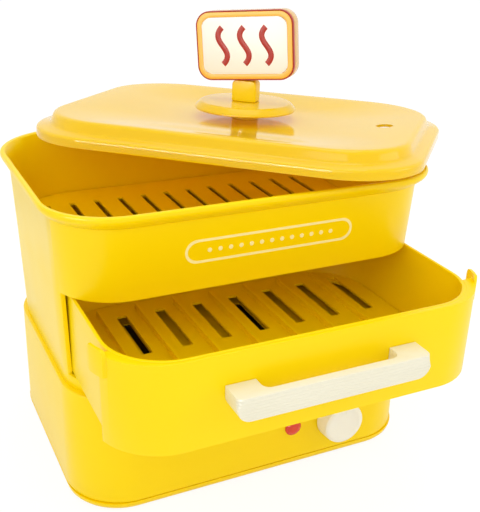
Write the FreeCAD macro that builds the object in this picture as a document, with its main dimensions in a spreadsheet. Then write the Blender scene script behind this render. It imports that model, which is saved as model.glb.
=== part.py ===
import FreeCAD
import Part
import Sketcher
import math
import os
from collections import namedtuple

# Countertop steamer: heated base, cabinet with a drawer, askew lid with a sign.
# Millimetres. X runs to the right, the front faces -Y and Z is up.
# The origin lies on the table, under the middle of the cabinet.

SIZES = {
    # Plan corners shared by the base and the cabinet
    "front_corner": 47.0,
    "rear_corner": 60.0,
    # Levels above the table, and the sill above the deck
    "foot_height": 1.5,
    "cover_top": 8.0,
    "deck_height": 102.0,
    "sill_rise": 9.5,
    "apron_height": 179.5,
    "rim_bottom": 237.0,
    "rim_top": 247.0,
    # Clearances
    "seam_gap": 0.3,
    "seat_gap": 0.1,
    "overrun": 5.0,
    # Base shell
    "base_bottom_half_width": 151.0,
    "base_bottom_front": 114.0,
    "base_bottom_rear": 117.0,
    "base_top_half_width": 151.0,
    "base_top_front": 113.5,
    "base_top_rear": 115.0,
    "base_wall": 2.8,
    "deck_thickness": 2.5,
    "rib_height": 4.0,
    "rib_thickness": 2.0,
    "rib_clearance": 0.8,
    "boss_radius": 5.0,
    "boss_inset": 21.5,
    "boss_rear_inset": 26.0,
    # Bottom cover, its screws and feet
    "cover_floor": 2.5,
    "cover_tuck": 1.0,
    "cover_wall": 2.5,
    "screw_radius": 1.6,
    "screw_head_radius": 3.2,
    "screw_head_height": 1.6,
    "screw_length": 14.0,
    "foot_radius": 9.0,
    "foot_stem_radius": 3.5,
    "foot_barb": 0.8,
    "foot_barb_height": 3.0,
    "foot_inset_x": 52.0,
    "foot_inset_y": 34.0,
    # Water pan
    "pan_half_width": 130.0,
    "pan_front": 90.0,
    "pan_rear": 90.0,
    "pan_corner": 26.0,
    "pan_gap": 0.6,
    "pan_flange": 5.0,
    "pan_wall": 1.2,
    "pan_floor": 55.0,
    "pan_taper": 6.0,
    # Heater under the pan
    "heater_radius": 55.0,
    "heater_thickness": 6.0,
    "element_radius": 38.0,
    "element_tube_radius": 4.0,
    "element_tail": 38.0,
    "element_bend": 10.0,
    "element_tail_half_pitch": 12.0,
    "element_pin_radius": 1.5,
    "element_pin": 9.0,
    "clamp_width": 12.0,
    "clamp_length": 22.0,
    "clamp_thickness": 2.0,
    "clamp_gap": 0.7,
    "thermostat_radius": 8.0,
    "thermostat_height": 9.0,
    "thermostat_flange_half_length": 14.0,
    "thermostat_flange_half_width": 5.0,
    "thermostat_flange_thickness": 1.5,
    "fuse_radius": 2.2,
    "fuse_length": 16.0,
    "fuse_offset": 22.0,
    "fuse_lead_radius": 0.6,
    "fuse_lead": 8.0,
    "terminal_length": 34.0,
    "terminal_depth": 18.0,
    "terminal_height": 14.0,
    "terminal_step": 4.0,
    # Cord gland at the back, left of the middle
    "gland_x": -95.0,
    "gland_z": 28.0,
    "gland_radius": 6.5,
    "gland_flange_radius": 9.0,
    "gland_flange": 2.5,
    "gland_nose": 12.0,
    "gland_nose_radius": 5.0,
    "gland_root": 8.4,
    "gland_bore": 3.4,
    # Front controls
    "knob_x": 71.0,
    "control_height": 40.0,
    "knob_radius": 19.0,
    "knob_depth": 13.5,
    "knob_draft": 1.0,
    "knob_gap": 0.8,
    "knob_wall": 3.0,
    "knob_hub_radius": 5.5,
    "knob_hub_gap": 0.4,
    "knob_floor": 1.5,
    "knob_mark_width": 1.6,
    "knob_mark_depth": 0.8,
    "knob_mark_length": 10.0,
    "shaft_radius": 3.0,
    "shaft_clearance": 0.08,
    "shaft_inside": 7.0,
    "bush_radius": 4.5,
    "bush_length": 6.5,
    "switch_half_width": 18.0,
    "switch_depth": 20.0,
    "switch_tab": 6.0,
    "switch_tab_spread": 9.0,
    "switch_tab_half_width": 3.0,
    "switch_tab_half_thickness": 0.4,
    "nut_radius": 8.0,
    "nut_thickness": 2.2,
    "lamp_x": 29.0,
    "lamp_radius": 7.2,
    "lamp_flange": 1.2,
    "lamp_dome": 2.6,
    "lamp_barrel_radius": 5.6,
    "lamp_barrel": 9.0,
    "lamp_wall": 1.0,
    "lamp_holder_radius": 7.0,
    "lamp_holder_length": 16.0,
    # Drip tray over the pan
    "drip_inset": 1.2,
    "drip_thickness": 1.5,
    "drip_slot_length": 60.0,
    "drip_slot_width": 6.0,
    "drip_slot_pitch": 26.0,
    # Cabinet
    "housing_foot_half_width": 148.0,
    "housing_foot_front": 109.5,
    "housing_foot_rear": 111.5,
    "housing_waist_half_width": 151.0,
    "housing_waist_front": 107.5,
    "housing_waist_rear": 111.0,
    "housing_neck_half_width": 153.5,
    "housing_neck_front": 110.0,
    "housing_neck_rear": 114.0,
    "housing_wall": 2.5,
    "rim_half_width": 160.0,
    "rim_front": 118.0,
    "rim_rear": 118.0,
    "rim_flare": 5.0,
    "rim_lip": 4.5,
    "jamb": 76.0,
    "ledge_rise": 5.0,
    "ledge_thickness": 2.5,
    "ledge_width": 7.0,
    "runner_width": 12.0,
    "runner_thickness": 3.0,
    "runner_front": 62.0,
    "runner_rear": 48.0,
    # Upper tray
    "tray_clearance": 1.2,
    "tray_thickness": 2.0,
    "tray_slot_length": 72.0,
    "tray_slot_width": 5.0,
    "tray_slot_pitch": 22.0,
    # Drawer, drawn closed and then moved out
    "drawer_out": 89.0,
    "drawer_half_width": 143.2,
    "drawer_box_rear": 100.0,
    "drawer_rear_corner": 52.0,
    "drawer_wall": 2.8,
    "drawer_floor": 2.5,
    "drawer_ledge": 9.0,
    "drawer_lift": 1.5,
    "drawer_gap": 1.0,
    "front_top_half_width": 150.5,
    "front_top_reach": 109.5,
    "front_bottom_half_width": 149.0,
    "front_lean": 1.0,
    "front_thickness": 3.2,
    "front_jamb_gap": 0.8,
    "ear_gap": 0.6,
    "ear_thickness": 2.2,
    "ear_length": 8.0,
    "ear_root": 8.0,
    "ear_rise": 5.0,
    "ear_height": 19.5,
    "ear_round": 4.5,
    # Handle
    "handle_half_width": 74.5,
    "handle_depth": 20.0,
    "handle_bar": 7.0,
    "handle_leg": 22.0,
    "handle_bottom": 138.5,
    "handle_height": 17.5,
    "handle_outer_round": 5.0,
    "handle_inner_round": 6.0,
    "handle_end_round": 8.0,
    "handle_groove": 1.0,
    "handle_groove_depth": 0.6,
    "handle_groove_pitch": 3.4,
    "handle_screw_drop": 5.5,
    # Rack in the drawer
    "rack_gap": 1.0,
    "rack_thickness": 2.0,
    "rack_rib_height": 5.0,
    "rack_rib_width": 3.0,
    "rack_front_gap": 12.0,
    "rack_slot_length": 66.0,
    "rack_slot_width": 9.0,
    "rack_slot_pitch": 34.0,
    # Lid, drawn about its own middle; its turn and tilts in degrees
    "lid_turn": -43.3,
    "lid_tilt_back": -2.2,
    "lid_tilt_right": 1.7,
    "lid_rise": 7.8,
    "lid_x": 43.0,
    "lid_y": 24.0,
    "lid_half_width": 161.0,
    "lid_half_depth": 118.5,
    "lid_front_corner": 62.0,
    "lid_rear_corner": 62.0,
    "lid_skirt_drop": 2.0,
    "lid_skirt_inset": 8.0,
    "lid_wall": 2.2,
    "lid_lip": 7.0,
    "lid_flange": 9.0,
    "lid_shoulder": 16.0,
    "lid_shoulder_inset": 11.5,
    "lid_edge": 18.2,
    "lid_edge_inset": 14.7,
    "lid_slope": 15.5,
    "lid_middle": 12.5,
    "vent_x": 120.0,
    "vent_y": 5.0,
    "vent_radius": 7.0,
    "lid_hole_radius": 3.0,
    # Sign on the lid; its lean in degrees
    "disc_radius": 43.5,
    "disc_level": 20.7,
    "disc_thickness": 2.0,
    "disc_rise": 4.5,
    "disc_crown_radius": 38.5,
    "disc_stem_radius": 11.5,
    "disc_gap": 0.2,
    "post_half_width": 10.5,
    "post_half_depth": 7.0,
    "post_height": 18.0,
    "post_round": 4.0,
    "post_tab_half_width": 9.0,
    "post_tab_thickness": 4.0,
    "post_tab_height": 42.0,
    "sign_half_width": 42.0,
    "sign_height": 56.5,
    "sign_front": 10.0,
    "sign_thickness": 5.0,
    "sign_back_thickness": 14.0,
    "sign_lean": 5.0,
    "sign_corner": 12.0,
    "sign_lift": 18.9,
    "sign_recess": 1.2,
    "sign_rim": 1.0,
    "sign_border": 4.0,
    "sign_fit": 0.1,
    "lid_screw_radius": 2.4,
    "lid_screw_depth": 12.0,
    "lid_screw_head_radius": 4.5,
    "lid_screw_head": 2.5,
    "washer_radius": 8.0,
    "washer_thickness": 1.2,
}

LID_SLOPE_SHARE = 0.68
LID_MIDDLE_SHARE = 0.42
DRIP_SLOTS = 9
TRAY_SLOTS = 12
RACK_SLOTS = 8
RACK_RIBS = 7
HANDLE_GROOVES = 5
CLAMPS = 3

doc = FreeCAD.newDocument("steamer")
sheet = doc.addObject("Spreadsheet::Sheet", "Sizes")


class Size:
    """A length that remembers the sheet formula it comes from."""

    def __init__(self, value, formula):
        self.value = float(value)
        self.formula = formula

    def __add__(self, other):
        return Size(self.value + other.value, f"({self.formula} + {other.formula})")

    def __sub__(self, other):
        return Size(self.value - other.value, f"({self.formula} - {other.formula})")

    def __neg__(self):
        return Size(-self.value, f"(-1 * {self.formula})")

    def __mul__(self, share):
        return Size(self.value * share, f"({self.formula} * {share})")

    def __truediv__(self, share):
        return Size(self.value / share, f"({self.formula} / {share})")


ZERO = Size(0, "0")
Plan = namedtuple("Plan", "half_width front rear front_radius rear_radius")
nodes = []


def fill_sheet():
    for row, (name, value) in enumerate(SIZES.items(), start=1):
        sheet.set(f"A{row}", name)
        sheet.set(f"B{row}", str(value))
        sheet.setAlias(f"B{row}", name)
    doc.recompute()


def size(name):
    return Size(sheet.get(name), f"Sizes.{name}")


def bind(thing, **sizes):
    for name, value in sizes.items():
        thing.setExpression(name.replace("__", "."), value.formula)


def place(thing, x=ZERO, y=ZERO, z=ZERO):
    bind(thing, Placement__Base__x=x, Placement__Base__y=y, Placement__Base__z=z)


def keep(thing, name):
    thing.Label = name
    nodes.append(thing)
    return thing


def inset(plan, amount):
    return Plan(*(value - amount for value in plan))


# Sketches and features of bodies

def body(name):
    return keep(doc.addObject("PartDesign::Body", "Body_" + name), name)


def plane(owner, role):
    return next(part for part in owner.Origin.OriginFeatures if part.Role == role)


def sketch(owner, role="XY_Plane", offset=ZERO):
    drawing = owner.newObject("Sketcher::SketchObject", "Sketch")
    drawing.AttachmentSupport = (plane(owner, role), "")
    drawing.MapMode = "FlatFace"
    bind(drawing, AttachmentOffset__Base__z=offset)
    return drawing


def limit(drawing, kind, geometry, value):
    index = drawing.addConstraint(Sketcher.Constraint(kind, *geometry, value.value))
    drawing.setExpression(f"Constraints[{index}]", value.formula)


def draw_plan(drawing, plan):
    """A rectangle with rounded corners: own radius at the front and at the rear."""
    x, front, rear = plan.half_width.value, plan.front.value, plan.rear.value
    near, far = plan.front_radius.value, plan.rear_radius.value
    vector = FreeCAD.Vector
    quarter = math.pi / 2
    corners = [(x - near, near - front, near, plan.front_radius),
               (x - far, rear - far, far, plan.rear_radius),
               (far - x, rear - far, far, plan.rear_radius),
               (near - x, near - front, near, plan.front_radius)]
    arcs = []
    for turn, (middle_x, middle_y, radius, named_radius) in enumerate(corners):
        circle = Part.Circle(vector(middle_x, middle_y, 0), vector(0, 0, 1), radius)
        start = (turn - 1) * quarter
        arcs.append(drawing.addGeometry(Part.ArcOfCircle(circle, start, start + quarter)))
    lines = []
    for first, second in zip(arcs, arcs[1:] + arcs[:1]):
        start = drawing.getPoint(first, 2)
        end = drawing.getPoint(second, 1)
        line = drawing.addGeometry(Part.LineSegment(start, end))
        lines.append(line)
        drawing.addConstraint(Sketcher.Constraint("Tangent", first, 2, line, 1))
        drawing.addConstraint(Sketcher.Constraint("Tangent", line, 2, second, 1))
    right, back, left, fore = lines
    for line, kind in ((right, "Vertical"), (back, "Horizontal"), (left, "Vertical"),
                       (fore, "Horizontal")):
        drawing.addConstraint(Sketcher.Constraint(kind, line))
    limit(drawing, "DistanceX", (-1, 1, right, 1), plan.half_width)
    limit(drawing, "DistanceX", (left, 1, -1, 1), plan.half_width)
    limit(drawing, "DistanceY", (-1, 1, back, 1), plan.rear)
    limit(drawing, "DistanceY", (fore, 1, -1, 1), plan.front)
    for arc, corner in zip(arcs, corners):
        limit(drawing, "Radius", (arc,), corner[-1])


def section(owner, level, plan, hole=None):
    drawing = sketch(owner, offset=level)
    draw_plan(drawing, plan)
    if hole:
        draw_plan(drawing, hole)
    return drawing


def loft(owner, kind, levels):
    """A ruled loft through plans, each given with its level."""
    sections = [section(owner, level, plan) for level, plan in levels]
    feature = owner.newObject("PartDesign::" + kind, kind)
    feature.Profile = sections[0]
    feature.Sections = sections[1:]
    feature.Ruled = True
    return feature


def pad(owner, drawing, length):
    feature = owner.newObject("PartDesign::Pad", "Pad")
    feature.Profile = drawing
    bind(feature, Length=length)
    return feature


def pocket(owner, drawing, length):
    feature = owner.newObject("PartDesign::Pocket", "Pocket")
    feature.Profile = drawing
    bind(feature, Length=length)
    return feature


def body_box(owner, kind, low, high):
    feature = owner.newObject("PartDesign::" + kind, kind)
    place(feature, *low)
    sides = [top - bottom for bottom, top in zip(low, high)]
    bind(feature, Length=sides[0], Width=sides[1], Height=sides[2])
    return feature


def body_rod(owner, kind, radius, start, length, along="Z"):
    feature = owner.newObject("PartDesign::" + kind, kind)
    feature.Placement.Rotation = DIRECTIONS[along]
    place(feature, *start)
    bind(feature, Radius=radius, Height=length)
    return feature


def repeat(owner, features, count, pitch):
    """A row along X, starting at the features and running to the right."""
    pattern = owner.newObject("PartDesign::LinearPattern", "Pattern")
    pattern.Originals = features
    axis = next(part for part in owner.Origin.OriginFeatures if part.Role == "X_Axis")
    pattern.Direction = (axis, [""])
    pattern.Occurrences = count
    bind(pattern, Length=pitch * (count - 1))
    owner.Tip = pattern
    return pattern


# Primitives and booleans

DIRECTIONS = {
    "Z": FreeCAD.Rotation(),
    "Y": FreeCAD.Rotation(FreeCAD.Vector(1, 0, 0), -90),
    "-Y": FreeCAD.Rotation(FreeCAD.Vector(1, 0, 0), 90),
    "X": FreeCAD.Rotation(FreeCAD.Vector(0, 1, 0), 90),
}


def box(low, high):
    thing = doc.addObject("Part::Box", "Box")
    place(thing, *low)
    sides = [top - bottom for bottom, top in zip(low, high)]
    bind(thing, Length=sides[0], Width=sides[1], Height=sides[2])
    return thing


def rod(radius, start, length, along="Z"):
    thing = doc.addObject("Part::Cylinder", "Rod")
    thing.Placement.Rotation = DIRECTIONS[along]
    place(thing, *start)
    bind(thing, Radius=radius, Height=length)
    return thing


def cone(bottom_radius, top_radius, start, length, along="Z"):
    thing = doc.addObject("Part::Cone", "Cone")
    thing.Placement.Rotation = DIRECTIONS[along]
    place(thing, *start)
    bind(thing, Radius1=bottom_radius, Radius2=top_radius, Height=length)
    return thing


def prism(radius, start, length, along="Z"):
    thing = doc.addObject("Part::Prism", "Prism")
    thing.Polygon = 6
    thing.Placement.Rotation = DIRECTIONS[along]
    place(thing, *start)
    bind(thing, Circumradius=radius, Height=length)
    return thing


def fuse(*things):
    result = doc.addObject("Part::MultiFuse", "Fusion")
    result.Shapes = list(things)
    return result


def cut(base, *tools):
    result = doc.addObject("Part::Cut", "Cut")
    result.Base = base
    result.Tool = tools[0] if len(tools) == 1 else fuse(*tools)
    return result


def common(first, second):
    result = doc.addObject("Part::Common", "Common")
    result.Base = first
    result.Tool = second
    return result


def rounded(thing, radius, chosen):
    """Fillets of one radius on the edges that the test chooses."""
    doc.recompute()
    result = doc.addObject("Part::Fillet", "Fillet")
    result.Base = thing
    result.Edges = [(index, radius.value, radius.value)
                    for index, edge in enumerate(thing.Shape.Edges, start=1) if chosen(edge)]
    return result


def runs_along(edge, axis):
    """Whether a straight edge runs along x, y or z."""
    if not isinstance(edge.Curve, Part.Line):
        return False
    return abs(abs(getattr(edge.Curve.Direction, axis)) - 1) < 1e-6


def middle(edge):
    return edge.valueAt((edge.FirstParameter + edge.LastParameter) / 2)


def group(*things):
    """Several separate solids in one node."""
    result = doc.addObject("Part::Compound", "Group")
    result.Links = list(things)
    return result


fill_sheet()

overrun = size("overrun")
seat_gap = size("seat_gap")
front_corner, rear_corner = size("front_corner"), size("rear_corner")
deck = size("deck_height")
seam = size("cover_top") + size("seam_gap")
cover_floor_top = size("foot_height") + size("cover_floor")
sill = deck + size("sill_rise")
apron = size("apron_height")
drawer_top = apron - size("drawer_gap")
ledge_level = apron + size("ledge_rise")
front_bottom_reach = size("front_top_reach") + size("front_lean")


def shared_plan(prefix):
    return Plan(size(prefix + "_half_width"), size(prefix + "_front"), size(prefix + "_rear"),
                front_corner, rear_corner)


base_bottom, base_top = shared_plan("base_bottom"), shared_plan("base_top")
housing_foot, housing_waist = shared_plan("housing_foot"), shared_plan("housing_waist")
housing_neck, rim = shared_plan("housing_neck"), shared_plan("rim")
base_fronts = sorted((base_bottom.front, base_top.front), key=lambda reach: reach.value)
pan_plan = Plan(size("pan_half_width"), size("pan_front"), size("pan_rear"), size("pan_corner"),
                size("pan_corner"))


boss_spots = []
for reach, depth in ((size("boss_inset"), -base_bottom.front + size("boss_inset")),
                     (size("boss_rear_inset"), base_bottom.rear - size("boss_rear_inset"))):
    boss_spots.append((base_bottom.half_width - reach, depth))
    boss_spots.append((reach - base_bottom.half_width, depth))

foot_spots = []
for depth in (size("foot_inset_y") - base_bottom.front, base_bottom.rear - size("foot_inset_y")):
    foot_spots.append((base_bottom.half_width - size("foot_inset_x"), depth))
    foot_spots.append((size("foot_inset_x") - base_bottom.half_width, depth))


# Base

def make_base_walls():
    """One moulded wall, kept as four lengths that meet beside the corners."""
    shell = doc.addObject("PartDesign::Body", "Walls")
    wall = size("base_wall")
    loft(shell, "AdditiveLoft", [(seam, base_bottom), (deck, base_top)])
    loft(shell, "SubtractiveLoft", [(seam, inset(base_bottom, wall)), (deck, inset(base_top, wall))])
    start = overrun + wall - base_top.front
    through = overrun * 2 + wall
    height = size("control_height")
    for x, radius in ((size("knob_x"), size("bush_radius")),
                      (size("lamp_x"), size("lamp_barrel_radius"))):
        body_rod(shell, "SubtractiveCylinder", radius + seat_gap, (x, start, height), through,
                 "-Y")
    back = base_top.rear - wall - overrun
    body_rod(shell, "SubtractiveCylinder", size("gland_radius") + seat_gap,
             (size("gland_x"), back, size("gland_z")), base_bottom.rear + overrun - back, "Y")
    side, joint = base_bottom.half_width - front_corner, seat_gap / 2
    far = base_bottom.half_width * 2
    lengths = {
        "base_front_wall": ((joint - side, -far, ZERO), (side - joint, ZERO, far)),
        "base_rear_wall": ((joint - side, ZERO, ZERO), (side - joint, far, far)),
        "base_left_wall": ((-far, -far, ZERO), (-side - joint, far, far)),
        "base_right_wall": ((side + joint, -far, ZERO), (far, far, far)),
    }
    for name, (low, high) in lengths.items():
        keep(common(shell, box(low, high)), name)


def make_deck_plate():
    """The flat top of the base, let in between its walls, with the hole for the pan."""
    plate = body("deck_plate")
    thickness = size("deck_thickness")
    plan = inset(base_top, size("base_wall") + seat_gap)
    pad(plate, section(plate, deck - thickness, plan, pan_plan), thickness)


def make_deck_ring():
    """The ring on the deck that the cabinet drops over."""
    ring_body = body("deck_ring")
    plan = inset(housing_foot, size("housing_wall") + size("rib_clearance"))
    pad(ring_body, section(ring_body, deck + seat_gap, plan, inset(plan, size("rib_thickness"))),
        size("rib_height"))


def make_cover_bosses():
    foot = cover_floor_top + seat_gap
    bosses = []
    for x, y in boss_spots:
        boss = rod(size("boss_radius"), (x, y, foot), deck - size("deck_thickness") - foot)
        hole = rod(size("screw_radius") + seat_gap, (x, y, foot - overrun),
                   overrun + size("screw_length"))
        bosses.append(cut(boss, hole))
    keep(group(*bosses), "cover_bosses")


def make_bottom_cover():
    cover = body("bottom_cover")
    foot = size("foot_height")
    loft(cover, "AdditiveLoft", [(foot, inset(base_bottom, size("cover_tuck"))),
                                 (size("cover_top"), base_bottom)])
    hollow = inset(base_bottom, size("cover_wall") + size("cover_tuck"))
    depth = size("cover_top") - cover_floor_top
    pocket(cover, section(cover, size("cover_top"), hollow), depth)
    for x, y in boss_spots:
        body_rod(cover, "SubtractiveCylinder", size("screw_radius") + seat_gap,
                 (x, y, foot - overrun), size("cover_floor") + overrun * 2)
        body_rod(cover, "SubtractiveCylinder", size("screw_head_radius") + seat_gap,
                 (x, y, foot - overrun), overrun + size("screw_head_height") + seat_gap)
    for x, y in foot_spots:
        body_rod(cover, "SubtractiveCylinder", size("foot_stem_radius") + seat_gap,
                 (x, y, foot - overrun), size("cover_floor") + overrun * 2)


def make_cover_screws():
    screws = []
    for x, y in boss_spots:
        head = rod(size("screw_head_radius"), (x, y, size("foot_height")),
                   size("screw_head_height"))
        shank = rod(size("screw_radius"), (x, y, size("foot_height")), size("screw_length"))
        screws.append(fuse(head, shank))
    keep(group(*screws), "cover_screws")


def make_feet():
    feet = []
    stem_top = cover_floor_top + seat_gap
    for x, y in foot_spots:
        disc = cone(size("foot_radius") - size("foot_barb"), size("foot_radius"), (x, y, ZERO),
                    size("foot_height") - seat_gap)
        stem = rod(size("foot_stem_radius"), (x, y, ZERO), stem_top)
        barb = cone(size("foot_stem_radius") + size("foot_barb"), size("foot_stem_radius"),
                    (x, y, stem_top), size("foot_barb_height"))
        feet.append(fuse(disc, stem, barb))
    keep(group(*feet), "feet")


def make_water_pan():
    pan = body("water_pan")
    top = inset(pan_plan, size("pan_gap"))
    low = inset(top, size("pan_taper"))
    wall, floor = size("pan_wall"), size("pan_floor")
    flange_bottom = deck + seat_gap
    loft(pan, "AdditiveLoft", [(floor, low), (flange_bottom, top)])
    flange = Plan(*(value + size("pan_flange") for value in pan_plan))
    pad(pan, section(pan, flange_bottom, flange), wall)
    loft(pan, "SubtractiveLoft", [(floor + wall, inset(low, wall)),
                                  (flange_bottom + wall, inset(top, wall))])


def make_heater():
    """A cast plate under the pan, with a sheathed ring held below it by clamps."""
    plate_bottom = size("pan_floor") - seat_gap - size("heater_thickness")
    keep(rod(size("heater_radius"), (ZERO, ZERO, plate_bottom), size("heater_thickness")),
         "heater_plate")
    tube, radius = size("element_tube_radius"), size("element_radius")
    element = doc.addObject("Part::Feature", "Element")
    element.Shape = element_shape()
    place(element, z=plate_bottom - tube - seat_gap)
    keep(element, "heating_element")
    make_clamps(plate_bottom, radius, tube)
    make_cutouts(plate_bottom)


def element_shape():
    """An open ring whose ends bend out into two parallel tails with pins."""
    vector = FreeCAD.Vector
    radius, tube, tail_x, bend, tail, pin_radius, pin = (
        size("element_" + name).value for name in ("radius", "tube_radius", "tail_half_pitch",
                                                   "bend", "tail", "pin_radius", "pin"))
    end_y = -radius - tail
    centre = vector(tail_x + bend, -math.sqrt((radius + bend) ** 2 - (tail_x + bend) ** 2), 0)
    bend_start = vector(tail_x, centre.y, 0)
    bend_end = centre * (radius / (radius + bend))
    bend_turn = (bend_start - centre).normalize() + (bend_end - centre).normalize()
    bend_middle = centre + bend_turn.normalize() * bend
    mirror = [vector(-point.x, point.y, 0) for point in (bend_start, bend_middle, bend_end)]
    path = Part.Wire([
        Part.LineSegment(vector(tail_x, end_y, 0), bend_start).toShape(),
        Part.Arc(bend_start, bend_middle, bend_end).toShape(),
        Part.Arc(bend_end, vector(0, radius, 0), mirror[2]).toShape(),
        Part.Arc(mirror[2], mirror[1], mirror[0]).toShape(),
        Part.LineSegment(mirror[0], vector(-tail_x, end_y, 0)).toShape(),
    ])
    circle = Part.Wire(Part.makeCircle(tube, vector(tail_x, end_y, 0), vector(0, 1, 0)))
    sheath = path.makePipeShell([circle], True, False)
    pins = [Part.makeCylinder(pin_radius, pin * 2, vector(x, end_y + pin, 0), vector(0, -1, 0))
            for x in (-tail_x, tail_x)]
    return sheath.fuse(pins)


def make_clamps(plate_bottom, radius, tube):
    clamps = []
    thickness, half_width = size("clamp_thickness"), size("clamp_width") / 2
    half_length = size("clamp_length") / 2
    inner = tube + size("clamp_gap")
    low = plate_bottom - seat_gap - tube * 2 - seat_gap
    for index in range(CLAMPS):
        angle = 90 + index * 360 / CLAMPS
        strip = box((radius - half_length, -half_width, low - thickness),
                    (radius + half_length, half_width, plate_bottom - seat_gap))
        hollow = box((radius - inner, -half_width - overrun, low),
                     (radius + inner, half_width + overrun, plate_bottom))
        clamp = cut(strip, hollow)
        clamp.Placement.Rotation = FreeCAD.Rotation(FreeCAD.Vector(0, 0, 1), angle)
        clamps.append(clamp)
    keep(group(*clamps), "element_clamps")


def make_cutouts(plate_bottom):
    """The thermostat and the thermal fuse, pressed against the plate from below."""
    thickness = size("thermostat_flange_thickness")
    seat = plate_bottom - seat_gap - thickness
    half_length = size("thermostat_flange_half_length")
    half_width = size("thermostat_flange_half_width")
    flange = box((-half_length, -half_width, seat),
                 (half_length, half_width, seat + thickness))
    can = rod(size("thermostat_radius"), (ZERO, ZERO, seat - size("thermostat_height")),
              size("thermostat_height") + thickness)
    keep(fuse(flange, can), "thermostat")
    fuse_radius = size("fuse_radius")
    level = plate_bottom - seat_gap - fuse_radius
    reach = size("fuse_length") / 2
    barrel = rod(fuse_radius, (-reach, size("fuse_offset"), level), size("fuse_length"), "X")
    lead = size("fuse_lead")
    leads = rod(size("fuse_lead_radius"), (-reach - lead, size("fuse_offset"), level),
                size("fuse_length") + lead * 2, "X")
    keep(fuse(barrel, leads), "thermal_fuse")


def make_terminal_block():
    x, y = size("gland_x") + size("terminal_length"), base_bottom.rear - size("foot_inset_y")
    half_length, half_depth = size("terminal_length") / 2, size("terminal_depth") / 2
    low = cover_floor_top + seat_gap
    high = low + size("terminal_height")
    block = box((x - half_length, y - half_depth, low), (x + half_length, y + half_depth, high))
    step = size("terminal_step")
    front = box((x - half_length - overrun, y - half_depth - overrun, high - step),
                (x + half_length + overrun, y - half_depth + step, high + overrun))
    back = box((x - half_length - overrun, y + half_depth - step, high - step),
               (x + half_length + overrun, y + half_depth + overrun, high + overrun))
    keep(cut(block, front, back), "terminal_block")


def make_cord_gland():
    x, z = size("gland_x"), size("gland_z")
    outside = base_bottom.rear + seat_gap
    inside = outside - size("gland_root")
    end = outside + size("gland_flange") + size("gland_nose")
    root = rod(size("gland_radius"), (x, inside, z), size("gland_root"), "Y")
    flange = rod(size("gland_flange_radius"), (x, outside, z), size("gland_flange"), "Y")
    nose = rod(size("gland_nose_radius"), (x, outside, z), end - outside, "Y")
    bore = rod(size("gland_bore"), (x, inside - overrun, z), end - inside + overrun * 2, "Y")
    keep(cut(fuse(root, flange, nose), bore), "cord_gland")


def make_front_controls():
    x, z = size("knob_x"), size("control_height")
    inside = size("base_wall") - base_fronts[0] + seat_gap
    outside = -base_fronts[1] - seat_gap
    half = size("switch_half_width")
    case = box((x - half, inside, z - half), (x + half, inside + size("switch_depth"), z + half))
    bush = rod(size("bush_radius"), (x, inside + overrun, z),
               inside + overrun - outside + size("bush_length") - size("base_wall"), "-Y")
    tab_end = inside + size("switch_depth") + size("switch_tab")
    tab_half, tab_deep = size("switch_tab_half_width"), size("switch_tab_half_thickness")
    tabs = [box((tab_x - tab_deep, inside, z - tab_half), (tab_x + tab_deep, tab_end, z + tab_half))
            for tab_x in (x - size("switch_tab_spread"), x + size("switch_tab_spread"))]
    shaft_back = inside + size("shaft_inside")
    bore_radius = size("shaft_radius") + size("shaft_clearance")
    bore = rod(bore_radius, (x, shaft_back + seat_gap, z),
               shaft_back + base_top.front + size("bush_length") + overrun * 2, "-Y")
    keep(cut(fuse(case, bush, *tabs), bore), "control_switch")
    nut = prism(size("nut_radius"), (x, outside, z), size("nut_thickness"), "-Y")
    nut_hole = rod(size("bush_radius") + seat_gap / 2, (x, outside + overrun, z),
                   size("nut_thickness") + overrun * 2, "-Y")
    keep(cut(nut, nut_hole), "switch_nut")
    make_knob(x, z, shaft_back)
    make_lamp(size("lamp_x"), z, inside)


def make_knob(x, z, shaft_back):
    back = -base_fronts[1] - size("knob_gap")
    face = back - size("knob_depth")
    radius, draft, wall = size("knob_radius"), size("knob_draft"), size("knob_wall")
    skin = cone(radius, radius - draft, (x, back, z), size("knob_depth"), "-Y")
    hollow = rod(radius - draft - wall, (x, back + overrun, z),
                 overrun + size("knob_depth") - wall, "-Y")
    hub_start = -base_fronts[1] - size("bush_length") - size("knob_hub_gap")
    hub = rod(size("knob_hub_radius"), (x, hub_start, z), hub_start - face - size("knob_floor"),
              "-Y")
    mark_half = size("knob_mark_width") / 2
    top = z + radius
    mark = box((x - mark_half, face - overrun, top - size("knob_mark_length")),
               (x + mark_half, face + size("knob_mark_depth"), top + overrun))
    shaft_end = face + wall
    hole = rod(size("shaft_radius") + seat_gap / 2, (x, back, z), back - shaft_end, "-Y")
    keep(cut(fuse(cut(skin, hollow), hub), mark, hole), "control_knob")
    shaft = rod(size("shaft_radius"), (x, shaft_back, z), shaft_back - shaft_end - seat_gap, "-Y")
    keep(shaft, "control_shaft")


def make_lamp(x, z, inside):
    outside = -base_fronts[1] - seat_gap
    barrel = rod(size("lamp_barrel_radius"), (x, outside, z), size("lamp_barrel"), "Y")
    flange = rod(size("lamp_radius"), (x, outside, z), size("lamp_flange"), "-Y")
    dome = cone(size("lamp_radius") - size("lamp_wall"), size("lamp_radius") / 2,
                (x, outside - size("lamp_flange"), z), size("lamp_dome"), "-Y")
    depth = size("lamp_barrel") + overrun
    hollow = rod(size("lamp_barrel_radius") - size("lamp_wall"), (x, outside + depth, z), depth,
                 "-Y")
    keep(cut(fuse(barrel, flange, dome), hollow), "lamp_lens")
    cup = rod(size("lamp_holder_radius"), (x, inside, z), size("lamp_holder_length"), "Y")
    bore = rod(size("lamp_barrel_radius") + seat_gap, (x, inside - overrun, z),
               overrun + size("lamp_barrel"), "Y")
    keep(cut(cup, bore), "lamp_holder")


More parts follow.
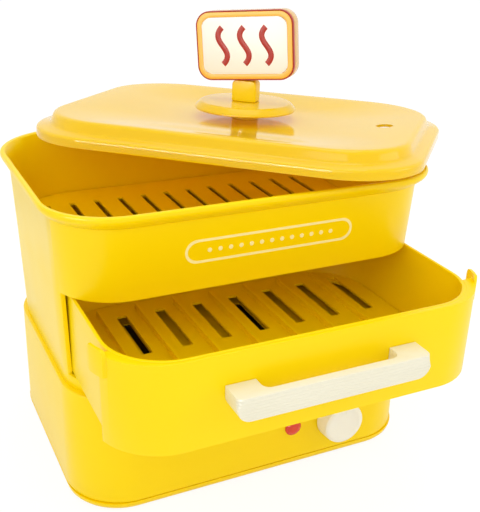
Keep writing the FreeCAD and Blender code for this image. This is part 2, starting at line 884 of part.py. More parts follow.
def slot_rows(owner, count, pitch, length, width, level, thickness):
    """Two rows of slots along Y, spread evenly about the middle."""
    start = -pitch * (count - 1) / 2
    gap = width
    slots = []
    for low, high in ((-gap - length, -gap), (gap, gap + length)):
        slots.append(body_box(owner, "SubtractiveBox", (start - width / 2, low, level - overrun),
                              (start + width / 2, high, level + thickness + overrun)))
    repeat(owner, slots, count, pitch)


def make_drip_tray():
    tray = body("drip_tray")
    rib_inner = size("housing_wall") + size("rib_clearance") + size("rib_thickness")
    plan = inset(housing_foot, rib_inner + size("drip_inset"))
    level = deck + seat_gap + size("pan_wall") + seat_gap
    thickness = size("drip_thickness")
    pad(tray, section(tray, level, plan), thickness)
    slot_rows(tray, DRIP_SLOTS, size("drip_slot_pitch"), size("drip_slot_length"),
              size("drip_slot_width"), level, thickness)


# Cabinet

def make_housing():
    shell = body("housing_shell")
    foot, waist = deck + seat_gap, apron
    neck, top = size("rim_bottom"), size("rim_top")
    wall = size("housing_wall")
    loft(shell, "AdditiveLoft", [(foot, housing_foot), (waist, housing_waist),
                                 (neck, housing_neck)])
    loft(shell, "AdditiveLoft", [(neck, housing_neck), (neck + size("rim_flare"), rim),
                                 (top, rim)])
    loft(shell, "SubtractiveLoft", [(foot, inset(housing_foot, wall)),
                                    (waist, inset(housing_waist, wall)),
                                    (neck, inset(housing_neck, wall)),
                                    (top, inset(rim, size("rim_lip")))])
    reach = housing_neck.half_width + overrun
    body_box(shell, "SubtractiveBox", (-reach, -rim.front - overrun, sill),
             (reach, -size("jamb"), waist))


def housing_plan(level):
    """The outside of the cabinet at a level between its waist and its neck."""
    share = (level - apron).value / (size("rim_bottom") - apron).value
    return Plan(*(low + (high - low) * share for low, high in zip(housing_waist, housing_neck)))


def make_tray_ledge():
    """The ring inside the cabinet that carries the upper tray."""
    ledge = body("tray_ledge")
    plan = inset(housing_plan(ledge_level), size("housing_wall") + seat_gap)
    pad(ledge, section(ledge, ledge_level, plan, inset(plan, size("ledge_width"))),
        size("ledge_thickness"))


def make_runners():
    wall = size("housing_wall")
    outer = housing_foot.half_width - wall - seat_gap
    top = sill + size("drawer_lift") - size("seam_gap")
    runners = []
    width = size("runner_width")
    for near, far in ((outer - width, outer), (-outer, width - outer)):
        runners.append(box((near, -size("runner_front"), top - size("runner_thickness")),
                           (far, size("runner_rear"), top)))
    keep(group(*runners), "drawer_runners")


def make_upper_tray():
    tray = body("upper_tray")
    level = ledge_level + size("ledge_thickness") + seat_gap
    plan = inset(housing_plan(level), size("housing_wall") + size("tray_clearance"))
    thickness = size("tray_thickness")
    pad(tray, section(tray, level, plan), thickness)
    slot_rows(tray, TRAY_SLOTS, size("tray_slot_pitch"), size("tray_slot_length"),
              size("tray_slot_width"), level, thickness)


# Drawer, drawn closed and moved out at the end

drawer_bottom = sill + size("drawer_lift")


def moved_out(thing):
    place(thing, y=-size("drawer_out"))
    return thing


def front_screw_spots():
    x = size("handle_half_width") - size("handle_leg") / 2
    centre = size("handle_bottom") + size("handle_height") / 2
    drop = size("handle_screw_drop")
    return [(side, height) for side in (-x, x) for height in (centre - drop, centre + drop)]


def make_drawer_box():
    drawer = body("drawer_box")
    wall, floor = size("drawer_wall"), size("drawer_floor")
    front = size("front_top_reach") - size("front_thickness")
    corner = front_corner - size("front_thickness")
    plan = Plan(size("drawer_half_width"), front, size("drawer_box_rear"), corner,
                size("drawer_rear_corner"))
    pad(drawer, section(drawer, drawer_bottom, plan), drawer_top - drawer_bottom)
    depth = drawer_top - drawer_bottom - floor
    pocket(drawer, section(drawer, drawer_top, inset(plan, wall)), depth)
    window = inset(plan, wall + size("drawer_ledge"))
    pocket(drawer, section(drawer, drawer_top, window), depth + floor + overrun)
    for x, z in front_screw_spots():
        body_rod(drawer, "SubtractiveCylinder", size("screw_radius") + seat_gap,
                 (x, wall * 2 - front, z), wall * 2 + overrun, "-Y")
    moved_out(drawer)


def front_plan(half_width, reach):
    return Plan(half_width, reach, size("drawer_box_rear"), front_corner,
                size("drawer_rear_corner"))


def ring(level, plan, hole, height):
    """A plain upright ring between two plans, used in booleans."""
    owner = doc.addObject("PartDesign::Body", "Ring")
    pad(owner, section(owner, level, plan, hole), height)
    return owner


def make_drawer_front():
    panel = doc.addObject("PartDesign::Body", "Panel")
    low, high = sill + size("seam_gap"), drawer_top
    thickness = size("front_thickness")
    bottom_plan = front_plan(size("front_bottom_half_width"), front_bottom_reach)
    top_plan = front_plan(size("front_top_half_width"), size("front_top_reach"))
    loft(panel, "AdditiveLoft", [(low, bottom_plan), (high, top_plan)])
    core = Plan(size("drawer_half_width") + seat_gap,
                size("front_top_reach") - thickness + seat_gap, size("drawer_box_rear"),
                front_corner - thickness + seat_gap, size("drawer_rear_corner"))
    pocket(panel, section(panel, high, core), high - low + overrun)
    end = -size("jamb") - size("front_jamb_gap")
    reach = bottom_plan.half_width + top_plan.half_width
    body_box(panel, "SubtractiveBox", (-reach, end, low - overrun),
             (reach, size("drawer_box_rear") + overrun, high + overrun))
    for x, z in front_screw_spots():
        body_rod(panel, "SubtractiveCylinder", size("screw_radius") + seat_gap,
                 (x, overrun - size("front_top_reach"), z), overrun * 2 + size("front_lean"),
                 "-Y")
    front = fuse(panel, *make_ears(core, end))
    keep(moved_out(front), "drawer_front")


def make_ears(core, end):
    """Two tabs at the top corners that lap over the outside of the cabinet."""
    inner = Plan(*(value + size("ear_gap") for value in housing_waist))
    outer = Plan(*(value + size("ear_thickness") for value in inner))
    high = drawer_top + size("ear_rise")
    low = high - size("ear_height")
    side = outer.half_width + overrun
    fore, back = end - size("ear_root"), end + size("ear_length")
    root = common(ring(low, outer, core, drawer_top - low),
                  box((-side, fore, low), (side, end, drawer_top)))
    tab = common(ring(low, outer, inner, high - low), box((-side, fore, low), (side, back, high)))

    def tab_corner(edge):
        point = middle(edge)
        at_top = abs(point.z - high.value) < 1e-3
        at_back = abs(point.y - back.value) < 1e-3
        at_end = at_back or abs(point.y - fore.value) < 1e-3
        return at_top and at_end or at_back and abs(point.z - low.value) < 1e-3

    return root, rounded(tab, size("ear_round"), tab_corner)


def handle_back():
    """Where the leaning front face lies at the foot of the handle."""
    low = sill + size("seam_gap")
    share = (size("handle_bottom") - low).value / (drawer_top - low).value
    return size("front_lean") * share - front_bottom_reach - seat_gap


def make_drawer_handle():
    back = handle_back()
    front = back - size("handle_depth")
    half, low = size("handle_half_width"), size("handle_bottom")
    high = low + size("handle_height")
    bow = box((-half, front, low), (half, back, high))
    gap_half = half - size("handle_leg")
    gap = box((-gap_half, front + size("handle_bar"), low - overrun),
              (gap_half, back + overrun, high + overrun))
    plain = cut(bow, gap)

    def outer_upright(edge):
        bar_middle = front + size("handle_bar") / 2
        return runs_along(edge, "z") and middle(edge).y < bar_middle.value

    def inner_upright(edge):
        bar_back = front + size("handle_bar")
        return runs_along(edge, "z") and abs(middle(edge).y - bar_back.value) < 1e-3

    def lower_end(edge):
        point = middle(edge)
        return (runs_along(edge, "y") and abs(point.z - low.value) < 1e-3
                and abs(abs(point.x) - half.value) < 1e-3)

    handle = rounded(plain, size("handle_end_round"), lower_end)
    handle = rounded(handle, size("handle_inner_round"), inner_upright)
    handle = rounded(handle, size("handle_outer_round"), outer_upright)
    grooves = []
    pitch, width = size("handle_groove_pitch"), size("handle_groove")
    middle_height = (low + high) / 2
    for index in range(HANDLE_GROOVES):
        level = middle_height + pitch * (index - (HANDLE_GROOVES - 1) / 2)
        grooves.append(box((-half - overrun, front - overrun, level - width / 2),
                           (half + overrun, front + size("handle_groove_depth"),
                            level + width / 2)))
    holes = [rod(size("screw_radius") + seat_gap, (x, back + overrun, z),
                 overrun + size("screw_length"), "-Y") for x, z in front_screw_spots()]
    keep(moved_out(cut(handle, *grooves, *holes)), "drawer_handle")


def make_handle_screws():
    screws = []
    inner_face = size("front_thickness") + size("drawer_wall") - size("front_top_reach")
    start = inner_face + seat_gap
    for x, z in front_screw_spots():
        head = rod(size("screw_head_radius"), (x, start, z), size("screw_head_height"), "Y")
        shank = rod(size("screw_radius"), (x, start, z), size("screw_length"), "-Y")
        screws.append(fuse(head, shank))
    keep(moved_out(group(*screws)), "handle_screws")


def make_rack():
    rack = body("drawer_rack")
    gap = size("drawer_wall") + size("rack_gap")
    reach = size("front_top_reach") - size("front_thickness")
    corner = front_corner - size("front_thickness")
    plan = inset(Plan(size("drawer_half_width"), reach, size("drawer_box_rear"), corner,
                      size("drawer_rear_corner")), gap)
    level = drawer_bottom + size("drawer_floor") + seat_gap
    thickness = size("rack_thickness")
    pad(rack, section(rack, level, plan), thickness)
    pitch = size("rack_slot_pitch")
    start = -pitch * (RACK_RIBS - 1) / 2
    half_rib = size("rack_rib_width") / 2
    end_gap = size("rack_front_gap")
    rib = body_box(rack, "AdditiveBox",
                   (start - half_rib, end_gap - plan.front, level),
                   (start + half_rib, plan.rear - end_gap,
                    level + thickness + size("rack_rib_height")))
    repeat(rack, [rib], RACK_RIBS, pitch)
    slot_rows(rack, RACK_SLOTS, pitch, size("rack_slot_length"), size("rack_slot_width"), level,
              thickness)
    moved_out(rack)


# Lid, drawn about its own middle and laid askew on the rim

lid_level = size("rim_top") + size("lid_rise")
lid_plan = Plan(size("lid_half_width"), size("lid_half_depth"), size("lid_half_depth"),
                size("lid_front_corner"), size("lid_rear_corner"))


def on_lid(thing):
    """Takes a piece from the middle of the level lid to the lid as it lies."""
    vector = FreeCAD.Vector
    thing.Placement.Rotation = (
        FreeCAD.Rotation(vector(1, 0, 0), size("lid_tilt_back").value)
        * FreeCAD.Rotation(vector(0, 1, 0), size("lid_tilt_right").value)
        * FreeCAD.Rotation(vector(0, 0, 1), size("lid_turn").value))
    place(thing, size("lid_x"), size("lid_y"), lid_level)
    return thing


def scaled(plan, share):
    return Plan(*(value * share for value in plan))


def make_lid():
    lid = body("lid_shell")
    wall, lip, shoulder = size("lid_wall"), size("lid_lip"), size("lid_shoulder")
    flange = size("lid_flange")
    steps = [(ZERO, ZERO), (lip, wall / 2), (lip + wall / 2, flange),
             (shoulder, size("lid_shoulder_inset")), (size("lid_edge"), size("lid_edge_inset"))]
    dish = [(size("lid_slope"), scaled(lid_plan, LID_SLOPE_SHARE)),
            (size("lid_middle"), scaled(lid_plan, LID_MIDDLE_SHARE))]
    loft(lid, "AdditiveLoft", [(level, inset(lid_plan, amount)) for level, amount in steps] + dish)
    hollow = [(ZERO, inset(lid_plan, wall))]
    hollow += [(level - wall, inset(lid_plan, amount + wall)) for level, amount in steps[1:]]
    hollow += [(level - wall, plan) for level, plan in dish]
    loft(lid, "SubtractiveLoft", hollow)
    skirt = inset(lid_plan, size("lid_skirt_inset"))
    pad(lid, section(lid, -size("lid_skirt_drop"), skirt, inset(skirt, wall)),
        size("lid_skirt_drop") + lip)
    body_rod(lid, "SubtractiveCylinder", size("vent_radius"),
             (size("vent_x"), size("vent_y"), ZERO), size("lid_edge") + overrun)
    body_rod(lid, "SubtractiveCylinder", size("lid_hole_radius"), (ZERO, ZERO, ZERO),
             size("lid_edge") + overrun)
    on_lid(lid)


disc_top = size("disc_level") + size("disc_thickness") + size("disc_rise")


def make_disc_and_post():
    level, thickness, radius = size("disc_level"), size("disc_thickness"), size("disc_radius")
    stem_foot = size("lid_middle") + size("disc_gap")
    stem = rod(size("disc_stem_radius"), (ZERO, ZERO, stem_foot), level + thickness - stem_foot)
    rim_disc = rod(radius, (ZERO, ZERO, level), thickness)
    crown = cone(radius, size("disc_crown_radius"), (ZERO, ZERO, level + thickness),
                 size("disc_rise"))
    hole = size("lid_screw_radius") + seat_gap / 2
    bore = rod(hole, (ZERO, ZERO, stem_foot - overrun), disc_top - stem_foot + overrun * 2)
    keep(on_lid(cut(fuse(stem, rim_disc, crown), bore)), "handle_disc")

    half, deep = size("post_half_width"), size("post_half_depth")
    foot = disc_top + seat_gap
    top = foot + size("post_height")
    block = box((-half, -deep, foot), (half, deep, top))
    shoulders = rounded(block, size("post_round"),
                        lambda edge: abs(middle(edge).z - top.value) < 1e-3
                        and runs_along(edge, "y"))
    tab_half, tab_deep = size("post_tab_half_width"), size("post_tab_thickness") / 2
    tab = box((-tab_half, -tab_deep, foot), (tab_half, tab_deep, foot + size("post_tab_height")))
    screw_room = rod(hole, (ZERO, ZERO, foot - overrun), overrun + size("lid_screw_depth"))
    keep(on_lid(cut(fuse(shoulders, tab), screw_room)), "sign_post")


def make_lid_screw():
    under_lid = size("lid_middle") - size("lid_wall") - seat_gap
    washer_bottom = under_lid - size("washer_thickness")
    washer = cut(rod(size("washer_radius"), (ZERO, ZERO, washer_bottom),
                     size("washer_thickness")),
                 rod(size("lid_screw_radius") + seat_gap, (ZERO, ZERO, washer_bottom - overrun),
                     size("washer_thickness") + overrun * 2))
    keep(on_lid(washer), "lid_washer")
    head_bottom = washer_bottom - seat_gap - size("lid_screw_head")
    head = rod(size("lid_screw_head_radius"), (ZERO, ZERO, head_bottom), size("lid_screw_head"))
    end = disc_top + size("lid_screw_depth")
    shank = rod(size("lid_screw_radius"), (ZERO, ZERO, head_bottom), end - head_bottom)
    keep(on_lid(fuse(head, shank)), "lid_screw")


def upright(thing, distance):
    """Stands a flat piece up before the post's middle, leaning in its own plane."""
    vector = FreeCAD.Vector
    thing.Placement.Rotation = (FreeCAD.Rotation(vector(1, 0, 0), 90)
                                * FreeCAD.Rotation(vector(0, 0, 1), size("sign_lean").value))
    place(thing, y=-distance, z=disc_top + size("sign_lift") + size("sign_height") / 2)
    return thing


def flat_piece(thickness, plan, hole=None):
    owner = doc.addObject("PartDesign::Body", "Flat")
    pad(owner, section(owner, ZERO, plan, hole), thickness)
    return owner


def make_sign():
    half_height, corner = size("sign_height") / 2, size("sign_corner")
    outline = Plan(size("sign_half_width"), half_height, half_height, corner, corner)
    field = inset(outline, size("sign_rim"))
    thickness, recess = size("sign_thickness"), size("sign_recess")
    middle_face = size("sign_front") - thickness
    plate = flat_piece(thickness, outline)
    pocket(plate, section(plate, thickness, field), recess)
    keep(on_lid(group(upright(plate, middle_face))), "sign_plate")
    back = flat_piece(size("sign_back_thickness") - seat_gap, outline)
    upright(back, middle_face - size("sign_back_thickness"))
    side, deep = size("post_tab_half_width") + seat_gap, size("post_tab_thickness") / 2 + seat_gap
    slot = box((-side, -deep, disc_top),
               (side, deep, disc_top + size("post_tab_height") + seat_gap * 2))
    keep(on_lid(cut(back, slot)), "sign_back")
    fit = size("sign_fit")
    band_plan, face_plan = inset(field, fit), inset(field, fit + size("sign_border"))
    depth, seat = recess - fit, size("sign_front") - recess + fit / 2
    keep(on_lid(group(upright(flat_piece(depth, band_plan, face_plan), seat))), "sign_band")
    keep(on_lid(group(upright(flat_piece(depth, inset(face_plan, fit)), seat))), "sign_face")


def check_and_write():
    doc.recompute()
    for thing in doc.Objects:
        bad = [word for word in ("Invalid", "Error") if word in thing.State]
        if bad:
            raise RuntimeError(f"{thing.Label}: {bad}")
    os.makedirs("parts", exist_ok=True)
    for thing in nodes:
        shape = thing.Shape
        if shape.isNull() or not shape.isValid():
            raise RuntimeError(f"{thing.Label}: shape is not valid")
        shape.exportStep(os.path.join("parts", thing.Label + ".step"))
        print(f"{thing.Label}: {len(shape.Solids)} solids, {shape.Volume:.0f} mm3")


make_base_walls()
make_deck_plate()
make_deck_ring()
make_cover_bosses()
make_bottom_cover()
make_cover_screws()
make_feet()
make_water_pan()
make_heater()
make_terminal_block()
make_cord_gland()
make_front_controls()
make_drip_tray()
make_housing()
make_tray_ledge()
make_runners()
make_upper_tray()
make_drawer_box()
make_drawer_front()
make_drawer_handle()
make_handle_screws()
make_rack()
make_lid()
make_disc_and_post()
make_lid_screw()
make_sign()
check_and_write()
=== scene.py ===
"""Two-deck countertop steamer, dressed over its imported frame.

Lengths in the making of the pieces are millimetres and become metres through MM.
"""
import math
from collections import namedtuple

import bmesh
import bpy
from mathutils import Matrix, Vector


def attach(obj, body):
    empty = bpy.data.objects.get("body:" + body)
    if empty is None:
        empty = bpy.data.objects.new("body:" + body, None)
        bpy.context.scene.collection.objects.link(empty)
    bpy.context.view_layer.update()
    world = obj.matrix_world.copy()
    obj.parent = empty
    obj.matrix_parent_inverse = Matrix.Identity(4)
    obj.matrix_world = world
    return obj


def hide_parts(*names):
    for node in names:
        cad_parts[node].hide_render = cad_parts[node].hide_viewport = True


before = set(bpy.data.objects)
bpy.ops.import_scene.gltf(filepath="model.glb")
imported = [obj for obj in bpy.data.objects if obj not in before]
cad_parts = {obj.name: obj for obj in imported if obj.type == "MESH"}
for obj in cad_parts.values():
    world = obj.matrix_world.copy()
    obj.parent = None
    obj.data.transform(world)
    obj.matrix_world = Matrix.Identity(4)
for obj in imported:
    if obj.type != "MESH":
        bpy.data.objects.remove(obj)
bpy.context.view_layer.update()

MM = 0.001
CORNER_STEPS = 14
CIRCLE_STEPS = 96
WELD = 0.01
NEAR = 0.1
PARALLEL = 0.999
SMOOTH_ANGLE = math.radians(32)
Plan = namedtuple("Plan", "half_width front rear front_corner rear_corner")


# Working on meshes

def take(*pieces):
    """Selects these pieces alone; the first is the one worked on."""
    bpy.ops.object.select_all(action="DESELECT")
    for piece in pieces:
        piece.select_set(True)
    bpy.context.view_layer.objects.active = pieces[0]


def begin(name):
    """Opens the new primitive for editing under its name, with all of it selected."""
    piece = bpy.context.object
    piece.name = piece.data.name = name
    bpy.ops.object.mode_set(mode="EDIT")
    bpy.ops.mesh.select_all(action="SELECT")
    return piece


def end():
    """Turns all faces outwards and closes the editing."""
    bpy.ops.mesh.select_all(action="SELECT")
    bpy.ops.mesh.remove_doubles(threshold=WELD * MM)
    bpy.ops.mesh.normals_make_consistent(inside=False)
    bpy.ops.object.mode_set(mode="OBJECT")


def middle_of(part):
    if isinstance(part, bmesh.types.BMVert):
        return part.co / MM
    if isinstance(part, bmesh.types.BMEdge):
        return (part.verts[0].co + part.verts[1].co) / 2 / MM
    return part.calc_center_median() / MM


def at(value, place):
    """True where a coordinate lies on a plane, give or take a little."""
    return abs(value - place) < NEAR


def choose(kind, test, along=None):
    """Selects the vertices, edges or faces whose middle passes the test."""
    bpy.ops.mesh.select_mode(type=kind)
    bpy.ops.mesh.select_all(action="DESELECT")
    mesh = bpy.context.edit_object.data
    form = bmesh.from_edit_mesh(mesh)
    for part in {"VERT": form.verts, "EDGE": form.edges, "FACE": form.faces}[kind]:
        if along is not None:
            run = (part.verts[1].co - part.verts[0].co).normalized()
            if abs(run.dot(Vector(along))) < PARALLEL:
                continue
        if test(middle_of(part)):
            part.select_set(True)
    form.select_flush_mode()
    bmesh.update_edit_mesh(mesh)


def fit(plan, level):
    """Scales and moves what is selected to a plan's box at a level."""
    form = bmesh.from_edit_mesh(bpy.context.edit_object.data)
    spots = [vert.co for vert in form.verts if vert.select]
    low, high = Vector(map(min, *spots)), Vector(map(max, *spots))
    centre, span = (low + high) / 2, high - low
    across = plan.half_width * 2 * MM / span.x
    deep = (plan.front + plan.rear) * MM / span.y
    bpy.ops.transform.resize(value=(across, deep, 1), center_override=centre)
    goal = Vector((0, (plan.rear - plan.front) / 2, level)) * MM
    bpy.ops.transform.translate(value=goal - centre)


def grow(plan, level):
    """Pulls new walls out of the selected edge, up or down to a plan at a level."""
    bpy.ops.mesh.extrude_region_move()
    fit(plan, level)


def rise(height):
    bpy.ops.mesh.extrude_region_move(TRANSFORM_OT_translate={"value": (0, 0, height * MM)})


def step_in(amount, height):
    """Offsets the selected face inwards and lifts it."""
    bpy.ops.mesh.inset(thickness=amount * MM, depth=height * MM)


def round_off(radius, steps):
    """Rounds the selected edges."""
    bpy.ops.mesh.bevel(offset=radius * MM, segments=steps, affect="EDGES")


def outline(name, plan, level, filled):
    """Draws a flat outline with rounded corners and leaves it selected."""
    bpy.ops.object.select_all(action="DESELECT")
    bpy.ops.mesh.primitive_plane_add(size=MM)
    piece = begin(name)
    fit(plan, level)
    split = (plan.rear - plan.front) / 2
    for radius, in_front in ((plan.front_corner, True), (plan.rear_corner, False)):
        choose("VERT", lambda spot: (spot.y < split) == in_front)
        bpy.ops.mesh.bevel(offset=radius * MM, segments=CORNER_STEPS, affect="VERTICES")
    bpy.ops.mesh.select_all(action="SELECT")
    if not filled:
        bpy.ops.mesh.delete(type="ONLY_FACE")
        bpy.ops.mesh.select_all(action="SELECT")
    return piece


def close_up():
    """Joins the first and the last open edge of a wall."""
    bpy.ops.mesh.select_mode(type="EDGE")
    bpy.ops.mesh.select_all(action="DESELECT")
    bpy.ops.mesh.select_non_manifold(use_wire=False, use_multi_face=False,
                                     use_non_contiguous=False, use_verts=False)
    bpy.ops.mesh.bridge_edge_loops()


def shell(name, first, *rings):
    """A moulded wall that runs through rings of plan and level, and back to the first."""
    piece = outline(name, *first, filled=False)
    for plan, level in rings:
        grow(plan, level)
    close_up()
    end()
    return piece


def tower(name, first, *rings):
    """A filled outline that grows through rings of plan and level, left open."""
    piece = outline(name, *first, filled=True)
    for plan, level in rings:
        grow(plan, level)
    return piece


def turned(name, *rings):
    """A round piece about Z, through rings of radius and level, closed at both ends."""
    bpy.ops.object.select_all(action="DESELECT")
    radius, level = rings[0]
    bpy.ops.mesh.primitive_circle_add(vertices=CIRCLE_STEPS, radius=radius * MM, fill_type="NGON")
    piece = begin(name)
    bpy.ops.transform.translate(value=(0, 0, level * MM))
    for radius, level in rings[1:]:
        grow(Plan(radius, radius, radius, 0, 0), level)
    end()
    return piece


def block(name, low, high):
    bpy.ops.object.select_all(action="DESELECT")
    bpy.ops.mesh.primitive_cube_add(size=MM)
    piece = begin(name)
    low, high = Vector(low), Vector(high)
    bpy.ops.transform.resize(value=high - low)
    bpy.ops.transform.translate(value=(low + high) / 2 * MM)
    end()
    return piece


def trim(spot, facing):
    """Cuts the open mesh at a plane, drops what lies in front of it and fills the cut."""
    bpy.ops.mesh.select_mode(type="FACE")
    bpy.ops.mesh.select_all(action="SELECT")
    bpy.ops.mesh.bisect(plane_co=Vector(spot) * MM, plane_no=facing, use_fill=True,
                        clear_outer=True)


def reopen(piece):
    take(piece)
    bpy.ops.object.mode_set(mode="EDIT")


def press(piece, kind, **settings):
    """Adds a modifier to a piece and applies it."""
    take(piece)
    tool = piece.modifiers.new(kind.title(), kind)
    for name, value in settings.items():
        setattr(tool, name, value)
    bpy.ops.object.modifier_apply(modifier=tool.name)


def soften(piece, width, steps=3, angle=35):
    """Rounds every edge that is sharper than the angle, and smooths the shading."""
    press(piece, "BEVEL", width=width * MM, segments=steps, limit_method="ANGLE",
          angle_limit=math.radians(angle), miter_outer="MITER_ARC")
    smooth(piece)


def smooth(piece):
    take(piece)
    bpy.ops.object.shade_smooth_by_angle(angle=SMOOTH_ANGLE)


def combine(piece, other, operation):
    """Cuts the other piece out of this one, or unites them; the other is used up."""
    press(piece, "BOOLEAN", operation=operation, solver="EXACT", object=other)
    bpy.data.objects.remove(other)


def join(*pieces):
    take(*pieces)
    bpy.ops.object.join()
    return pieces[0]


def settle(piece, rotation=(0, 0, 0), location=(0, 0, 0)):
    """Turns and places a piece, and keeps that in its mesh."""
    piece.rotation_euler = rotation
    piece.location = Vector(location) * MM
    take(piece)
    bpy.ops.object.transform_apply()
    return piece


def shift(piece, x=0, y=0, z=0):
    return settle(piece, location=(x, y, z))


def shrunk(plan, amount):
    return Plan(*(value - amount for value in plan))


def scaled(plan, share):
    return Plan(*(value * share for value in plan))


def insets(plan, profile):
    """Makes rings of plan and level from pairs of inset and level."""
    return [(shrunk(plan, inset), level) for inset, level in profile]


def dress(piece, body, slot, finish, *nodes):
    """Gives a piece its finish and its body, and hides the imported nodes that it stands for."""
    piece.data.materials.clear()
    piece.data.materials.append(finish)
    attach(piece, body)
    if nodes:
        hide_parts(*nodes)
    return piece


# Finishes

def linear(text):
    """An sRGB hex colour as linear red, green, blue and alpha."""
    values = [int(text[index:index + 2], 16) / 255 for index in (1, 3, 5)]
    return [value / 12.92 if value <= 0.04045 else ((value + 0.055) / 1.055) ** 2.4
            for value in values] + [1.0]


def per(length):
    """The texture scale that repeats once in this many millimetres."""
    return 1 / (length * MM)


WAVE_REPEAT = math.pi / 10  # the wave texture repeats once in this length at a scale of 1


def new_finish(name):
    made = bpy.data.materials.new(name)
    made.use_nodes = True
    made.node_tree.nodes.clear()
    return made, made.node_tree


def node(tree, kind, values=None, wires=None, **settings):
    """Adds a node, sets its properties and its inputs, and wires other inputs."""
    made = tree.nodes.new("ShaderNode" + kind)
    for name, value in settings.items():
        setattr(made, name, value)
    for name, value in (values or {}).items():
        made.inputs[name].default_value = value
    for name, source in (wires or {}).items():
        tree.links.new(source, made.inputs[name])
    return made.outputs[0] if made.outputs else None


def cover(tree, shader):
    node(tree, "OutputMaterial", wires={"Surface": shader})


def moulded_polypropylene(name, hex_colour, hex_deep, roughness):
    # Moulded polypropylene: one deep colour, a satin skin and a broad soft shine.
    made, tree = new_finish(name)
    place = node(tree, "TexCoord").node.outputs["Object"]
    clouds = node(tree, "TexNoise", {"Scale": per(60), "Detail": 2.0}, {"Vector": place})
    colour = node(tree, "MixRGB", {"Color1": linear(hex_colour), "Color2": linear(hex_deep)},
                  {"Fac": clouds})
    grain = node(tree, "TexNoise", {"Scale": per(1.1), "Detail": 2.0}, {"Vector": place})
    skin = node(tree, "Bump", {"Strength": 0.25, "Distance": 0.02 * MM}, {"Height": grain})
    wear = node(tree, "MapRange", {"To Min": roughness - 0.05, "To Max": roughness + 0.06},
                {"Value": clouds})
    shader = node(tree, "BsdfPrincipled", {"IOR": 1.49, "Specular IOR Level": 0.2,
                                           "Coat Weight": 0.03, "Coat Roughness": 0.1},
                  {"Base Color": colour, "Roughness": wear, "Normal": skin})
    cover(tree, shader)
    return made


def clear_amber():
    # Tinted SAN: see-through amber with a glassy skin; it lets coloured light pass.
    made, tree = new_finish("san_clear_amber")
    place = node(tree, "TexCoord").node.outputs["Object"]
    clouds = node(tree, "TexNoise", {"Scale": per(80), "Detail": 1.0}, {"Vector": place})
    colour = node(tree, "MixRGB", {"Color1": linear("#FFD80C"), "Color2": linear("#FCD006")},
                  {"Fac": clouds})
    waves = node(tree, "TexNoise", {"Scale": per(24), "Detail": 1.0}, {"Vector": place})
    skin = node(tree, "Bump", {"Strength": 0.12, "Distance": 0.1 * MM}, {"Height": waves})
    shader = node(tree, "BsdfPrincipled", {"IOR": 1.5, "Roughness": 0.08,
                                           "Specular IOR Level": 0.32,
                                           "Transmission Weight": 0.2},
                  {"Base Color": colour, "Normal": skin})
    pass_light = node(tree, "BsdfTransparent", {"Color": linear("#FFE36A")})
    shadow = node(tree, "LightPath").node.outputs["Is Shadow Ray"]
    share = node(tree, "Math", {1: 0.6}, {0: shadow}, operation="MULTIPLY")
    cover(tree, node(tree, "MixShader", wires={0: share, 1: shader, 2: pass_light}))
    return made


def backing_amber():
    # Tinted acrylic block behind the print: pale amber that lets light glow through its rim.
    made, tree = new_finish("acrylic_amber_block")
    place = node(tree, "TexCoord").node.outputs["Object"]
    clouds = node(tree, "TexNoise", {"Scale": per(30), "Detail": 1.0}, {"Vector": place})
    colour = node(tree, "MixRGB", {"Color1": linear("#FFD27A"), "Color2": linear("#FACB6A")},
                  {"Fac": clouds})
    shader = node(tree, "BsdfPrincipled", {"IOR": 1.49, "Roughness": 0.14,
                                           "Transmission Weight": 0.3},
                  {"Base Color": colour})
    cover(tree, shader)
    return made


def white_abs(name, hex_colour, hex_deep, pitch):
    # Moulded ABS: warm satin white, with fine ribs along the grip where a pitch is given.
    made, tree = new_finish(name)
    place = node(tree, "TexCoord").node.outputs["Object"]
    clouds = node(tree, "TexNoise", {"Scale": per(45), "Detail": 2.0}, {"Vector": place})
    colour = node(tree, "MixRGB", {"Color1": linear(hex_colour), "Color2": linear(hex_deep)},
                  {"Fac": clouds})
    grain = node(tree, "TexNoise", {"Scale": per(0.9), "Detail": 2.0}, {"Vector": place})
    skin = node(tree, "Bump", {"Strength": 0.2, "Distance": 0.02 * MM}, {"Height": grain})
    if pitch:
        ribs = node(tree, "TexWave", {"Scale": per(pitch) * WAVE_REPEAT},
                    {"Vector": place}, bands_direction="Z")
        skin = node(tree, "Bump", {"Strength": 0.5, "Distance": 0.35 * MM},
                    {"Height": ribs, "Normal": skin})
    shader = node(tree, "BsdfPrincipled", {"IOR": 1.54, "Roughness": 0.36,
                                           "Coat Weight": 0.15, "Coat Roughness": 0.2},
                  {"Base Color": colour, "Normal": skin})
    cover(tree, shader)
    return made


def lens_polycarbonate():
    # Tinted polycarbonate over a lamp: clear orange red that glows a little.
    made, tree = new_finish("polycarbonate_red")
    place = node(tree, "TexCoord").node.outputs["Object"]
    facets = node(tree, "TexVoronoi", {"Scale": per(2.2)}, {"Vector": place})
    skin = node(tree, "Bump", {"Strength": 0.3, "Distance": 0.2 * MM}, {"Height": facets})
    shader = node(tree, "BsdfPrincipled",
                  {"Base Color": linear("#DE3A0E"), "IOR": 1.58, "Roughness": 0.12,
                   "Transmission Weight": 0.25, "Emission Color": linear("#D8400F"),
                   "Emission Strength": 0.12}, {"Normal": skin})
    cover(tree, shader)
    return made


def printed(name, hex_colour):
    # Screen-printed ink on plastic: even, nearly matt, with the dots of the screen.
    made, tree = new_finish(name)
    place = node(tree, "TexCoord").node.outputs["Object"]
    dots = node(tree, "TexVoronoi", {"Scale": per(0.7)}, {"Vector": place})
    skin = node(tree, "Bump", {"Strength": 0.1, "Distance": 0.02 * MM}, {"Height": dots})
    shader = node(tree, "BsdfPrincipled", {"Base Color": linear(hex_colour), "IOR": 1.5,
                                           "Roughness": 0.42}, {"Normal": skin})
    cover(tree, shader)
    return made


